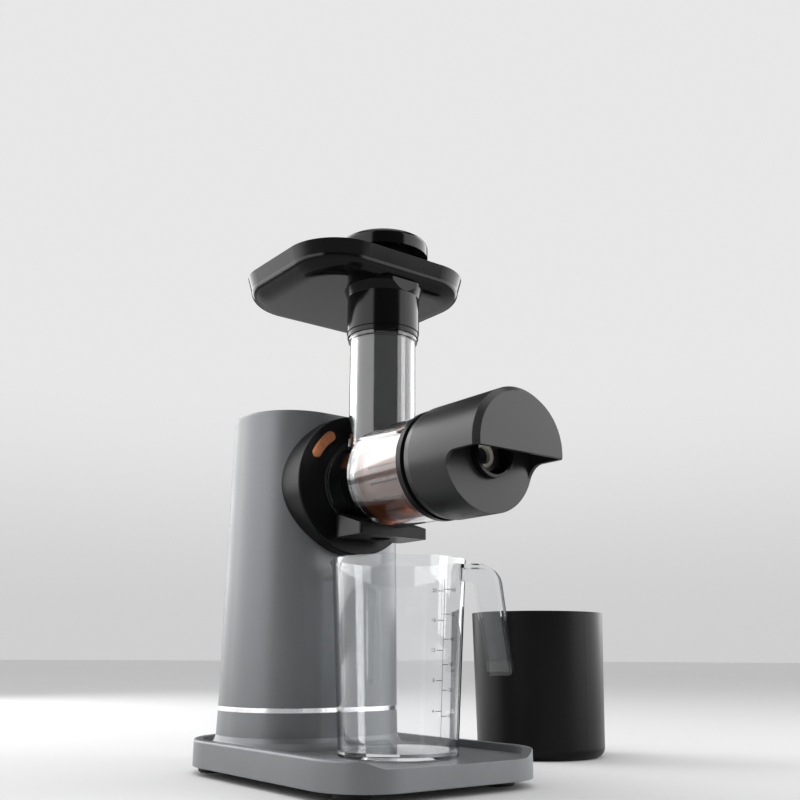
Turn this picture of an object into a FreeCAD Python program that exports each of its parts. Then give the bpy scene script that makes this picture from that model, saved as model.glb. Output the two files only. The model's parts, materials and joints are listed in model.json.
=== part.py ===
import FreeCAD, Part
import math
import os

V = FreeCAD.Vector

# Overall layout: x runs along the drum axis, z up from the worktop
base_width = 176.0
base_rear_x = -71.0
base_front_x = 185.5
base_rear_corner_r = 64.0
base_front_corner_r = 42.0
base_under_z = 6.0
base_floor_z = 20.0
base_rim_z = 25.3
base_rim_width = 7.0
base_wall = 3.0
rim_wave_low_inset = 31.0
rim_wave_high_inset = 11.0
rim_edge_fillet = 1.6

# Feet and base cover
foot_radius = 12.0
foot_sink = 2.0
foot_chamfer = 1.0
foot_inset_x = 34.0
foot_inset_y = 26.0
cover_thickness = 2.5
cover_screw_radius = 2.0
cover_screw_head_radius = 3.6
cover_screw_length = 7.0
vent_slot_count = 9
vent_slot_width = 2.4
vent_slot_length = 42.0
vent_slot_pitch = 5.6

# Tower
tower_half_x_low = 53.5
tower_flat_low = 4.5
tower_taper_x = 3.5
tower_taper_y = 1.5
tower_flat_top = 3.0
tower_side_gap = 1.0
tower_top_z = 276.5
tower_wall = 3.0
tower_edge_fillet = 2.5
plinth_flare = 8.0
plinth_flare_height = 12.0
gland_radius = 5.0
gland_bore_radius = 3.4
band_z = 46.0
band_height = 3.4
band_proud = 0.2
band_seat_gap = 0.02
panel_inset = 9.0
panel_depth = 3.0

# Controls on the tower top
control_plate_half_x = 17.0
control_plate_half_y = 36.0
control_plate_depth = 2.2
control_button_radius = 10.5
control_button_spacing = 36.0
control_button_proud = 1.6
control_button_travel = 1.2
control_button_skirt = 5.0
control_button_chamfer = 0.7
board_thickness = 1.6

# Drum axis, boss and bayonet socket
drum_axis_z = 217.6
boss_radius = 55.3
boss_face_x = 64.4
boss_root_x = 44.5
boss_rear_x = 25.0
boss_wall = 4.0
boss_edge_fillet = 1.5
boss_spigot_radius = 46.0
boss_spigot_length = 6.0
hub_radius = 28.0
hub_end_x = 83.0
hub_bore_radius = 24.0
bayonet_lug_height = 3.0
bayonet_lug_thickness = 4.0
bayonet_lug_angle = 26.0
bayonet_first_deg = 75.0
bayonet_twist = 30.0
bayonet_count = 3
bayonet_lip = 3.0
socket_depth = 13.0
socket_wall = 3.5

# Release button and its latch
release_arc_radius = 45.2
release_half_width = 4.2
release_start_deg = 128.0
release_end_deg = 152.0
release_proud = 1.4
release_travel = 3.0
release_rib_count = 5
release_rib_height = 0.5
latch_width = 5.0
latch_depth = 4.0
spring_wire = 0.9
spring_radius = 3.0
spring_turns = 6
spring_shelf = 2.5
spring_shift_deg = 2.0

# Motor and gearbox, all on the drum axis
motor_radius = 34.0
motor_rear_x = -43.0
motor_front_x = 10.0
motor_wall = 2.0
motor_port_radius = 3.2
motor_port_count = 6
magnet_thickness = 5.0
magnet_angle = 120.0
rotor_radius = 24.0
rotor_slot_count = 10
rotor_slot_width = 3.0
rotor_slot_depth = 6.0
rotor_stack_length = 30.0
motor_shaft_radius = 3.0
commutator_radius = 9.0
commutator_length = 8.0
fan_radius = 27.0
fan_blade_count = 9
fan_thickness = 5.0
gearbox_radius = 38.0
gearbox_front_x = 44.0
gearbox_wall = 3.0
gear_module = 1.25
sun_teeth = 12
planet_teeth = 15
planet_count = 3
gear_width = 10.0
gear_backlash = 0.16
gear_mesh_clearance = 0.12
planet_bore_radius = 3.0
carrier_thickness = 5.0
output_shaft_radius = 9.0
drive_hex_flats = 14.0
drive_hex_length = 15.0
bearing_outer_radius = 14.0
bearing_width = 7.0
bearing_ring = 1.4
bearing_shield = 0.4
seal_outer_radius = 15.0
bracket_thickness = 3.0
bracket_half_width = 44.0
bracket_foot_length = 18.0
bracket_foot_width = 14.0
bracket_screw_radius = 1.6

# Drum cover, filter and auger
neck_radius = 31.0
neck_start_x = 66.0
neck_end_x = 104.0
drum_radius = 38.2
drum_end_x = 167.0
drum_wall = 2.4
filter_radius = 33.0
filter_wall = 1.5
filter_start_x = 112.0
filter_end_x = 190.0
filter_slots_mid_x = 140.0
filter_slot_count = 18
filter_slot_width = 1.6
filter_slot_length = 34.0
lock_ring_radius = 39.6
lock_ring_grip = 2.0
drum_seal_thickness = 2.0
auger_neck_gap = 1.2
auger_filter_gap = 0.7
auger_step_x = 108.0
auger_step_length = 6.0
auger_core_start_radius = 9.0
auger_core_end_radius = 15.5
auger_pitch = 42.0
auger_flight_angle = 62.0
auger_tip_angle = 24.0
auger_end_x = 196.0
auger_nose_length = 12.0
auger_nose_radius = 6.0
auger_section_step_deg = 15.0

# Feed chute, tray and pusher
chute_x = 95.0
chute_radius = 25.9
chute_wall = 2.4
chute_floor = 0.5
chute_ring_drop = 21.0
chute_ring_height = 4.0
tray_rim_z = 394.0
tray_rear_x = -19.0
tray_front_x = 127.0
tray_half_y = 80.0
tray_corner_r = 44.0
tray_rim_height = 11.0
tray_rim_draft = 3.0
tray_under_inset = 16.0
tray_depth = 23.0
tray_sections = 5
tray_wall = 3.0
tray_collar_drop = 19.0
tray_collar_wall = 3.0
tray_collar_flare = 2.5
tray_collar_flare_height = 7.0
pusher_floor_gap = 1.0
pusher_wall = 2.6
pusher_stem_radius = 25.3
pusher_stem_drop = 7.7
pusher_disc_radius = 36.0
pusher_disc_rise = 6.0
pusher_disc_height = 13.0
pusher_disc_fillet = 5.0

# Spout block under the drum
spout_rear_x = 71.0
spout_front_x = 112.0
spout_half_y = 31.0
spout_low_z = 172.5
spout_rear_top_z = 193.0
spout_front_top_z = 180.5
spout_corner_r = 14.0
spout_front_r = 2.0
spout_rear_chamfer = 7.0
spout_seat_height = 8.0
spout_outlet_x = 93.4
spout_outlet_radius = 8.0
spout_tube_radius = 10.0
spout_tube_wall = 2.0

# End cap with its hood and nozzle
cap_start_x = 170.6
cap_face_x = 248.6
cap_radius = 40.2
cap_face_radius = 36.8
cap_bevel = 4.0
cap_shoulder_radius = 36.5
cap_shoulder_length = 9.0
cap_wall = 2.8
cap_recess_x = 217.0
hood_under_z = 214.0
hood_side_fillet = 10.0
nozzle_radius = 16.9
nozzle_wall = 2.4
nozzle_length = 8.0
spider_web = 3.0
spider_count = 3
gasket_thickness = 0.6

# Juice jug
jug_x = 117.6
jug_rim_radius = 48.9
jug_foot_radius = 42.1
jug_top_z = 154.3
jug_wall = 2.2
jug_floor = 4.0
jug_spout_reach = 5.0
jug_turn_deg = 40.0
handle_top_drop = 4.0
handle_arm = 11.5
handle_reach = 23.7
handle_lean = 9.4
handle_drop = 76.3
handle_depth = 17.0
handle_width = 19.0
handle_wall = 2.6
handle_corner_r = 15.0
handle_end_r = 3.0

# Pulp container beside the base
pulp_x = 21.4
pulp_y = 237.8
pulp_radius = 61.0
pulp_foot_radius = 57.5
pulp_height = 126.7
pulp_wall = 2.6
pulp_edge_r = 9.0

# Fits and clearances
fit_gap = 0.3
run_gap = 0.05
rest_gap = 0.3

# Values that follow
base_half = base_width / 2
tower_half_y_low = base_half - base_rim_width - plinth_flare - tower_side_gap
tower_half_x_top = tower_half_x_low - tower_taper_x
tower_half_y_top = tower_half_y_low - tower_taper_y
tower_corner_r_low = tower_half_x_low - tower_flat_low
tower_corner_r_top = tower_half_x_top - tower_flat_top
hub_start_x = boss_face_x - socket_depth + 1.0
ring_teeth = sun_teeth + 2 * planet_teeth
planet_orbit = gear_module * (sun_teeth + planet_teeth) / 2 + gear_mesh_clearance
gear_rear_x = motor_front_x + gearbox_wall + 2.0
carrier_x = gear_rear_x + gear_width + 1.0
plinth_low_z = base_floor_z
jug_low_z = base_floor_z + rest_gap
pusher_radius = chute_radius - chute_wall - 1.0
auger_neck_radius = neck_radius - drum_wall - auger_neck_gap
auger_drum_radius = filter_radius - filter_wall - auger_filter_gap
tray_under_z = tray_rim_z - tray_depth
chute_top_z = tray_under_z - tray_collar_drop
chute_ring_z = chute_top_z - chute_ring_drop
tray_collar_low_z = chute_ring_z + chute_ring_height + rest_gap
pusher_disc_low_z = tray_rim_z + pusher_disc_rise
pusher_disc_top_z = pusher_disc_low_z + pusher_disc_height
lock_ring_end_x = cap_start_x - gasket_thickness
pusher_low_z = drum_axis_z + drum_radius - drum_wall + pusher_floor_gap
origin_x = (base_rear_x + cap_face_x) / 2
origin_y = (pulp_y + pulp_radius - base_half) / 2


def box(x0, x1, y0, y1, z0, z1):
    return Part.makeBox(x1 - x0, y1 - y0, z1 - z0, V(x0, y0, z0))


def cyl_x(radius, x0, x1, y=0.0, z=drum_axis_z):
    return Part.makeCylinder(radius, x1 - x0, V(x0, y, z), V(1, 0, 0))


def tube_x(outer, inner, x0, x1, y=0.0, z=drum_axis_z):
    return cyl_x(outer, x0, x1, y, z).cut(cyl_x(inner, x0 - 1, x1 + 1, y, z))


def cyl_z(radius, z0, z1, x, y):
    return Part.makeCylinder(radius, z1 - z0, V(x, y, z0))


def tube_z(outer, inner, z0, z1, x, y):
    return cyl_z(outer, z0, z1, x, y).cut(cyl_z(inner, z0 - 1, z1 + 1, x, y))


def on_axis(radius, degrees, x=0.0):
    a = math.radians(degrees)
    return V(x, radius * math.cos(a), drum_axis_z + radius * math.sin(a))


def arc_edge(a, b, c):
    return Part.Arc(a, b, c).toShape()


def line_edge(a, b):
    return Part.LineSegment(a, b).toShape()


def sector_x(inner, outer, x0, x1, start, end):
    """Ring sector about the drum axis, angles from +Y towards +Z."""
    mid = (start + end) / 2
    edges = [
        arc_edge(on_axis(outer, start, x0), on_axis(outer, mid, x0), on_axis(outer, end, x0)),
        line_edge(on_axis(outer, end, x0), on_axis(inner, end, x0)),
        arc_edge(on_axis(inner, end, x0), on_axis(inner, mid, x0), on_axis(inner, start, x0)),
        line_edge(on_axis(inner, start, x0), on_axis(outer, start, x0)),
    ]
    return Part.Face(Part.Wire(edges)).extrude(V(x1 - x0, 0, 0))


def arc_pill(radius, half_width, x0, x1, start, end):
    """Pill that follows an arc about the drum axis."""
    shape = sector_x(radius - half_width, radius + half_width, x0, x1, start, end)
    for degrees in (start, end):
        centre = on_axis(radius, degrees)
        shape = shape.fuse(cyl_x(half_width, x0, x1, centre.y, centre.z))
    return shape.removeSplitter()


def rounded_wire(x0, x1, y0, y1, r_rear, r_front, z):
    """Rounded rectangle with one radius at the rear corners and one at the front."""
    k = 1 - math.sqrt(0.5)
    p = [
        V(x0 + r_rear, y0, z), V(x1 - r_front, y0, z),
        V(x1, y0 + r_front, z), V(x1, y1 - r_front, z),
        V(x1 - r_front, y1, z), V(x0 + r_rear, y1, z),
        V(x0, y1 - r_rear, z), V(x0, y0 + r_rear, z),
    ]
    m = [
        V(x1 - k * r_front, y0 + k * r_front, z), V(x1 - k * r_front, y1 - k * r_front, z),
        V(x0 + k * r_rear, y1 - k * r_rear, z), V(x0 + k * r_rear, y0 + k * r_rear, z),
    ]
    edges = []
    for i in range(4):
        edges.append(line_edge(p[2 * i], p[2 * i + 1]))
        edges.append(arc_edge(p[2 * i + 1], m[i], p[(2 * i + 2) % 8]))
    return Part.Wire(edges)


def rounded_block(x0, x1, y0, y1, r_rear, r_front, z0, z1):
    face = Part.Face(rounded_wire(x0, x1, y0, y1, r_rear, r_front, z0))
    return face.extrude(V(0, 0, z1 - z0))


def loft(wires):
    return Part.makeLoft(wires, True, True)


def edges_at_z(shape, z):
    return [e for e in shape.Edges if abs(e.BoundBox.ZMin - z) < 1e-4 and abs(e.BoundBox.ZMax - z) < 1e-4]


def edges_at_x(shape, x):
    return [e for e in shape.Edges if abs(e.BoundBox.XMin - x) < 1e-4 and abs(e.BoundBox.XMax - x) < 1e-4]


def revolve_z(points, x, y):
    """Solid of revolution about a vertical axis from (radius, z) points."""
    wire = Part.makePolygon([V(x + r, y, z) for r, z in points + points[:1]])
    return Part.Face(wire).revolve(V(x, y, 0), V(0, 0, 1), 360)


def revolve_x(points):
    """Solid of revolution about the drum axis from (x, radius) points."""
    wire = Part.makePolygon([V(x, 0, drum_axis_z + r) for x, r in points + points[:1]])
    return Part.Face(wire).revolve(V(0, 0, drum_axis_z), V(1, 0, 0), 360)


def base_plan(inset, z0, z1):
    return rounded_block(
        base_rear_x + inset, base_front_x - inset, inset - base_half, base_half - inset,
        base_rear_corner_r - inset, base_front_corner_r - inset, z0, z1)


def rim_cutter():
    """Space above the floor, and the waves at the front corners down to the low front lip."""
    inner = base_plan(base_rim_width, base_floor_z, base_rim_z + 1)
    low_y = base_half - rim_wave_low_inset
    high_y = base_half - rim_wave_high_inset
    handle = (high_y - low_y) / 3
    x0 = base_front_x - base_front_corner_r
    rise = V(0, 0, base_rim_z + 1 - base_floor_z)
    edges = []
    for side in (-1, 1):
        low_end = V(x0, side * low_y, base_floor_z)
        top_end = V(x0, side * high_y, base_rim_z)
        curve = Part.BezierCurve()
        curve.setPoles([low_end, low_end + V(0, side * handle, 0), top_end - V(0, side * handle, 0),
            top_end])
        edges.append(curve.toShape())
        edges.append(line_edge(top_end, V(x0, side * high_y, base_rim_z + 1)))
    edges.append(line_edge(V(x0, -low_y, base_floor_z), V(x0, low_y, base_floor_z)))
    edges.append(line_edge(V(x0, -high_y, base_floor_z) + rise, V(x0, high_y, base_floor_z) + rise))
    wave = Part.Face(Part.Wire(Part.__sortEdges__(edges))).extrude(V(base_front_corner_r + 1, 0, 0))
    return inner.fuse(wave)


def foot_places():
    xs = (base_rear_x + foot_inset_x, base_front_x - foot_inset_x)
    ys = (foot_inset_y - base_half, base_half - foot_inset_y)
    return [(x, y) for x in xs for y in ys]


def screw_places():
    xs = (base_rear_x + 2 * foot_inset_x, base_front_x - 2 * foot_inset_x)
    ys = (foot_inset_y - base_half, base_half - foot_inset_y)
    return [(x, y) for x in xs for y in ys]


def base_tray():
    body = base_plan(0, base_under_z, base_rim_z)
    body = body.makeFillet(rim_edge_fillet, edges_at_z(body, base_rim_z))
    body = body.cut(rim_cutter())
    body = body.cut(base_plan(base_wall, base_under_z - 1, base_floor_z - base_wall))
    for x, y in screw_places():
        post = cyl_z(cover_screw_radius + 2.5, base_under_z + cover_thickness + fit_gap,
            base_floor_z - base_wall, x, y)
        body = body.fuse(post)
        body = body.cut(cyl_z(cover_screw_radius, base_under_z, base_under_z + cover_screw_length + 1, x,
            y))
    for x, y in bracket_screw_places():
        body = body.cut(cyl_z(bracket_screw_radius, base_under_z, base_floor_z + 1, x, y))
    body = body.cut(box(-tower_half_x_low + 14, -8, -28, 28, base_under_z, base_floor_z + 1))
    return body.removeSplitter()


def base_cover():
    inset = base_wall + fit_gap
    plate = base_plan(inset, base_under_z, base_under_z + cover_thickness)
    for x, y in foot_places():
        plate = plate.cut(cyl_z(foot_radius + 0.1, base_under_z - 1, base_under_z + foot_sink - 1.0, x,
            y))
    for x, y in screw_places():
        plate = plate.cut(cyl_z(cover_screw_head_radius + fit_gap, base_under_z - 1, base_under_z + 1, x,
            y))
        plate = plate.cut(cyl_z(cover_screw_radius + fit_gap, base_under_z - 1,
            base_under_z + cover_thickness + 1, x, y))
    start = -(vent_slot_count - 1) / 2 * vent_slot_pitch
    for i in range(vent_slot_count):
        y = start + i * vent_slot_pitch
        slot = box(-vent_slot_length / 2, vent_slot_length / 2, y - vent_slot_width / 2,
            y + vent_slot_width / 2,
                   base_under_z - 1, base_under_z + cover_thickness + 1)
        plate = plate.cut(slot)
    return plate


def rubber_feet():
    feet = []
    for x, y in foot_places():
        foot = cyl_z(foot_radius, 0, base_under_z + foot_sink - 1.0, x, y)
        feet.append(foot.makeChamfer(foot_chamfer, edges_at_z(foot, 0.0)))
    return Part.makeCompound(feet)


def cover_screws():
    screws = []
    for x, y in screw_places():
        head = cyl_z(cover_screw_head_radius, base_under_z - 0.8, base_under_z + 1, x, y)
        shank = cyl_z(cover_screw_radius - run_gap, base_under_z + 1, base_under_z + cover_screw_length,
            x, y)
        recess = box(x - 2.2, x + 2.2, y - 0.5, y + 0.5, base_under_z - 1, base_under_z)
        screws.append(head.fuse(shank).cut(recess).removeSplitter())
    return Part.makeCompound(screws)


def tower_section(offset, z):
    """Tower outline at a height, moved in by an offset."""
    t = (z - band_z) / (tower_top_z - band_z)
    hx = tower_half_x_low + t * (tower_half_x_top - tower_half_x_low) - offset
    hy = tower_half_y_low + t * (tower_half_y_top - tower_half_y_low) - offset
    r = tower_corner_r_low + t * (tower_corner_r_top - tower_corner_r_low) - offset
    return rounded_wire(-hx, hx, -hy, hy, r, r, z)


def tower_slab(offset, z0, z1):
    return loft([tower_section(offset, z0), tower_section(offset, z1)])


def tower_housing():
    low = band_z + band_height
    shell = tower_slab(0, low, tower_top_z)
    shell = shell.makeFillet(tower_edge_fillet, edges_at_z(shell, tower_top_z))
    shell = shell.cut(tower_slab(tower_wall, low - 1, tower_top_z - panel_depth - tower_wall))
    shell = shell.cut(tower_slab(panel_inset, tower_top_z - panel_depth - tower_wall - 1,
        tower_top_z + 1))
    shell = shell.cut(tower_slab(panel_inset - 3, tower_top_z - panel_depth, tower_top_z + 1))
    shell = shell.cut(cyl_x(boss_spigot_radius + fit_gap, 0, 80))
    return shell


def tower_plinth():
    """Foot of the tower, flared into the base floor, with the groove seat of the trim band."""
    wires = [tower_section(0, band_z)]
    steps = 5
    for i in range(1, steps + 1):
        a = math.radians(90.0 * i / steps)
        drop = plinth_low_z + plinth_flare_height * (1 - math.sin(a))
        wires.append(tower_section(-plinth_flare * (1 - math.cos(a)), drop))
    flare = loft(wires)
    top = band_z + band_height
    spigot = tower_slab(tower_wall + fit_gap, band_z - 1, top + 4)
    solid = flare.fuse(spigot)
    inner = tower_slab(tower_wall + 2.6, plinth_low_z - 1, top + 5)
    solid = solid.cut(inner)
    return solid.cut(gland_hole(gland_radius + fit_gap)).removeSplitter()


def trim_band():
    outer = tower_slab(-band_proud, band_z + band_seat_gap, band_z + band_height - band_seat_gap)
    return outer.cut(tower_slab(tower_wall, band_z - 1, band_z + band_height + 1))


def gland_z():
    return (plinth_low_z + plinth_flare_height + band_z) / 2


def gland_hole(radius):
    return cyl_x(radius, -tower_half_x_low - plinth_flare - 5, -tower_half_x_low + 12, 0, gland_z())


def cord_gland():
    """Rubber inlet grommet at the back of the tower foot."""
    outside = -tower_half_x_low - 4.0
    inside = -tower_half_x_low + tower_wall + 4.0
    body = cyl_x(gland_radius, outside, inside, 0, gland_z())
    flange = cyl_x(gland_radius + 1.8, outside - 2.0, -tower_half_x_low - 1.5, 0, gland_z())
    bore = cyl_x(gland_bore_radius, outside - 5, inside + 5, 0, gland_z())
    return body.fuse(flange).cut(bore).removeSplitter()


def top_panel():
    z0 = tower_top_z - panel_depth
    panel = tower_slab(panel_inset - 3 + fit_gap, z0, tower_top_z - 0.4)
    seat = rounded_block(
        -control_plate_half_x - fit_gap, control_plate_half_x + fit_gap,
        -control_plate_half_y - fit_gap, control_plate_half_y + fit_gap,
        control_plate_half_x, control_plate_half_x, tower_top_z - control_plate_depth - 0.4, tower_top_z)
    panel = panel.cut(seat)
    for y in button_places():
        panel = panel.cut(cyl_z(control_button_radius + fit_gap, z0 - 1, tower_top_z, 0, y))
    return panel


def button_places():
    return (-control_button_spacing / 2, control_button_spacing / 2)


def control_plate():
    plate = rounded_block(
        -control_plate_half_x, control_plate_half_x, -control_plate_half_y, control_plate_half_y,
        control_plate_half_x - 0.5, control_plate_half_x - 0.5,
        tower_top_z - control_plate_depth - 0.4, tower_top_z - 0.2)
    for y in button_places():
        plate = plate.cut(cyl_z(control_button_radius + fit_gap, tower_top_z - 10, tower_top_z + 1, 0, y))
    return plate


def control_button(y):
    z1 = tower_top_z + control_button_proud
    button = cyl_z(control_button_radius, z1 - control_button_skirt, z1, 0, y)
    return button.makeChamfer(control_button_chamfer, edges_at_z(button, z1))


def board_top_z():
    return tower_top_z + control_button_proud - control_button_skirt - control_button_travel - 1.0


def control_board():
    """Board under the buttons, with a switch under each and two posts up to the panel."""
    z1 = board_top_z() - 2.0
    half_x = control_plate_half_x + 6
    half_y = control_plate_half_y + 8
    board = box(-half_x, half_x, -half_y, half_y, z1 - board_thickness, z1)
    for y in button_places():
        board = board.fuse(box(-3, 3, y - 3, y + 3, z1, z1 + 1.9))
    for x in (-half_x + 3, half_x - 3):
        for y in (-half_y + 3, half_y - 3):
            board = board.fuse(cyl_z(2.2, z1, tower_top_z - panel_depth, x, y))
    return board.removeSplitter()


def boss_housing():
    """Round boss that follows the tower front, open for the socket and the button."""
    body = cyl_x(boss_radius, boss_rear_x, boss_face_x)
    body = body.makeFillet(boss_edge_fillet, edges_at_x(body, boss_face_x))
    body = body.cut(tower_slab(-0.1, drum_axis_z - boss_radius - 5, tower_top_z))
    spigot_rear = boss_root_x - boss_spigot_length
    body = body.fuse(cyl_x(boss_spigot_radius, spigot_rear, boss_face_x - 1))
    body = body.cut(cyl_x(boss_spigot_radius - boss_wall, spigot_rear - 1, boss_face_x - boss_wall))
    body = body.cut(arc_pill(release_arc_radius, release_half_width + fit_gap, spigot_rear - 3,
        boss_face_x + 1,
                             release_start_deg, release_end_deg))
    body = body.cut(arc_pill(release_arc_radius, release_half_width + 2.5, spigot_rear - 3,
        boss_face_x - boss_wall,
                             release_start_deg, release_end_deg))
    body = body.cut(cyl_x(socket_outer_radius() + run_gap, spigot_rear - 3, boss_face_x + 1))
    shelf = sector_x(gearbox_radius + fit_gap, boss_spigot_radius - 0.5, spigot_rear,
                     spigot_rear + spring_shelf, release_start_deg - 14, release_end_deg + 14)
    return body.fuse(shelf).removeSplitter()


def spring_arc_radius():
    return release_arc_radius - spring_radius - 0.2


def socket_outer_radius():
    return hub_radius + bayonet_lug_height + fit_gap + socket_wall


def bayonet_socket():
    """Socket with a lip, an inner groove and one entry gap for each lug of the hub."""
    rear = boss_face_x - socket_depth - 3.0
    outer = socket_outer_radius()
    body = cyl_x(outer, rear, boss_face_x - 0.2)
    body = body.cut(cyl_x(hub_radius + fit_gap, rear + 3.0, boss_face_x + 1))
    groove_r = hub_radius + bayonet_lug_height + fit_gap
    body = body.cut(cyl_x(groove_r, lug_rear_x() - fit_gap,
        lug_rear_x() + bayonet_lug_thickness + fit_gap))
    for i in range(bayonet_count):
        start = bayonet_first_deg + 360.0 / bayonet_count * i + bayonet_twist - bayonet_lug_angle / 2 - 1
        gap = sector_x(hub_radius - 1, groove_r, lug_rear_x(), boss_face_x + 1, start,
            start + bayonet_lug_angle + 2)
        body = body.cut(gap)
    body = body.cut(cyl_x(seal_outer_radius - 1.5, rear - 1, boss_face_x))
    slot = box(rear + 2.5, boss_face_x - 2.5, -latch_width / 2 - fit_gap, latch_width / 2 + fit_gap,
               drum_axis_z + hub_radius, drum_axis_z + outer + 2)
    slot.rotate(V(0, 0, drum_axis_z), V(1, 0, 0), latch_deg() - 90)
    return body.cut(slot).removeSplitter()


def lug_rear_x():
    return boss_face_x - bayonet_lip - bayonet_lug_thickness - fit_gap


def latch_deg():
    return (release_start_deg + release_end_deg) / 2


def release_button():
    x0 = boss_face_x - boss_wall - 1.0
    x1 = boss_face_x + release_proud
    button = arc_pill(release_arc_radius, release_half_width, x0, x1, release_start_deg, release_end_deg)
    button = button.makeFillet(0.9, edges_at_x(button, x1))
    skirt = arc_pill(release_arc_radius, release_half_width + 1.6, x0 - 1.5, x0, release_start_deg,
        release_end_deg)
    button = button.fuse(skirt)
    step = (release_end_deg - release_start_deg) / (release_rib_count + 1)
    for i in range(release_rib_count):
        a = release_start_deg + (i + 1) * step
        rib = sector_x(release_arc_radius - 2.4, release_arc_radius + 2.4, x1 - 0.5,
            x1 + release_rib_height,
                       a - 0.7, a + 0.7)
        button = button.fuse(rib)
    return button.removeSplitter()


def latch_arm():
    """Arm behind the release button whose tooth reaches in to the hub's groove."""
    x1 = boss_face_x - boss_wall - 2.5
    x0 = x1 - 3.0
    inner = hub_radius - latch_depth + 2.0
    arm = box(x0, x1, -latch_width / 2, latch_width / 2, drum_axis_z + hub_radius - 1.6,
        drum_axis_z + release_arc_radius + 2)
    tooth = box(x0, x1, -latch_width / 2, latch_width / 2, drum_axis_z + inner, drum_axis_z + hub_radius)
    arm = arm.fuse(tooth).removeSplitter()
    arm.rotate(V(0, 0, drum_axis_z), V(1, 0, 0), latch_deg() - 90)
    return arm


def release_spring():
    """Coil that pushes the release button out, standing on the boss's inner shelf."""
    centre = on_axis(spring_arc_radius(), release_start_deg + spring_shift_deg)
    x1 = boss_face_x - boss_wall - 2.5 - 0.1
    x0 = boss_root_x - boss_spigot_length + spring_shelf + 0.1
    length = x1 - x0 - spring_wire
    helix = Part.makeHelix(length / spring_turns, length, spring_radius)
    section = [V(spring_radius + spring_wire / 2 * math.cos(math.radians(a)), 0,
                 spring_wire / 2 * math.sin(math.radians(a))) for a in range(0, 361, 60)]
    profile = Part.makePolygon(section)
    coil = Part.Wire(helix.Edges).makePipeShell([profile], True, True)
    coil.rotate(V(0, 0, 0), V(0, 1, 0), 90)
    coil.translate(V(x0 + spring_wire / 2, centre.y, centre.z))
    return coil


def gear_outline(teeth, shift_deg, internal=False):
    """Trapezoid tooth outline: root, flank, tip and flank for each tooth."""
    pitch_r = gear_module * teeth / 2
    tip_r = pitch_r + (0.9 * gear_module if not internal else 1.2 * gear_module)
    root_r = pitch_r - (1.2 * gear_module if not internal else 0.85 * gear_module)
    step = 360.0 / teeth
    half_pitch_deg = step / 4 - math.degrees(gear_backlash / 2 / pitch_r) * (1 if not internal else -1)
    lean = math.degrees(math.tan(math.radians(22)) * gear_module / pitch_r) * 0.95
    points = []
    for i in range(teeth):
        c = i * step + shift_deg
        if internal:
            marks = [(root_r, half_pitch_deg + lean), (tip_r, half_pitch_deg - lean * 1.2)]
        else:
            marks = [(root_r, half_pitch_deg + lean * 1.2), (tip_r, half_pitch_deg - lean)]
        points.append((marks[0][0], c - marks[0][1]))
        points.append((marks[1][0], c - marks[1][1]))
        points.append((marks[1][0], c + marks[1][1]))
        points.append((marks[0][0], c + marks[0][1]))
    return points


def gear_prism(teeth, shift_deg, x0, x1, y=0.0, z_off=0.0, internal=False):
    pts = []
    for r, deg in gear_outline(teeth, shift_deg, internal):
        a = math.radians(deg)
        pts.append(V(x0, y + r * math.cos(a), drum_axis_z + z_off + r * math.sin(a)))
    wire = Part.makePolygon(pts + pts[:1])
    return Part.Face(wire).extrude(V(x1 - x0, 0, 0))


def planet_place(index):
    a = math.radians(90 + 360.0 / planet_count * index)
    return planet_orbit * math.cos(a), planet_orbit * math.sin(a), 90 + 360.0 / planet_count * index


def sun_pinion():
    pinion = gear_prism(sun_teeth, 90.0, gear_rear_x, gear_rear_x + gear_width)
    return pinion.cut(cyl_x(motor_shaft_radius, gear_rear_x - 1, gear_rear_x + gear_width + 1))


def planet_gear(index):
    y, z, deg = planet_place(index)
    # a gap of the planet faces the sun's tooth along the line of centres
    sun_phase = ((deg - 90.0) / (360.0 / sun_teeth)) % 1.0
    step = 360.0 / planet_teeth
    towards_sun = deg + 180.0
    shift = towards_sun + step / 2 + sun_phase * step
    gear = gear_prism(planet_teeth, shift, gear_rear_x + 0.4, gear_rear_x + gear_width - 0.4, y, z)
    return gear.cut(cyl_x(planet_bore_radius + run_gap, 0, 60, y, drum_axis_z + z))


def ring_phase():
    """Turn of the ring gear so that its gap meets the first planet's outer tooth."""
    step_p = 360.0 / planet_teeth
    step_r = 360.0 / ring_teeth
    shift = 90.0 + 180.0 + step_p / 2
    offset = ((90.0 - shift) / step_p) % 1.0
    return 90.0 + offset * step_r


def ring_gear():
    outer = cyl_x(gearbox_radius - gearbox_wall - run_gap, gear_rear_x, gear_rear_x + gear_width)
    return outer.cut(gear_prism(ring_teeth, ring_phase(), gear_rear_x - 1, gear_rear_x + gear_width + 1,
        internal=True))


def planet_carrier():
    """Carrier disc with planet pins, output shaft and the drive hexagon."""
    disc_r = planet_orbit + planet_bore_radius + 3.0
    body = cyl_x(disc_r, carrier_x, carrier_x + carrier_thickness)
    for i in range(planet_count):
        y, z, _ = planet_place(i)
        body = body.fuse(cyl_x(planet_bore_radius, gear_rear_x + 0.4, carrier_x + 1, y, drum_axis_z + z))
    shaft_end = boss_face_x - socket_depth + 1.0
    body = body.fuse(cyl_x(output_shaft_radius, carrier_x + 1, shaft_end))
    return body.removeSplitter()


def hexagon(flats, x0, x1):
    r = flats / math.sqrt(3)
    points = [on_axis(r, 60.0 * i, x0) for i in range(7)]
    return Part.Face(Part.makePolygon(points)).extrude(V(x1 - x0, 0, 0))


def drive_hex():
    start = boss_face_x - socket_depth + 1.0
    return hexagon(drive_hex_flats, start, start + drive_hex_length)


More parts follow.
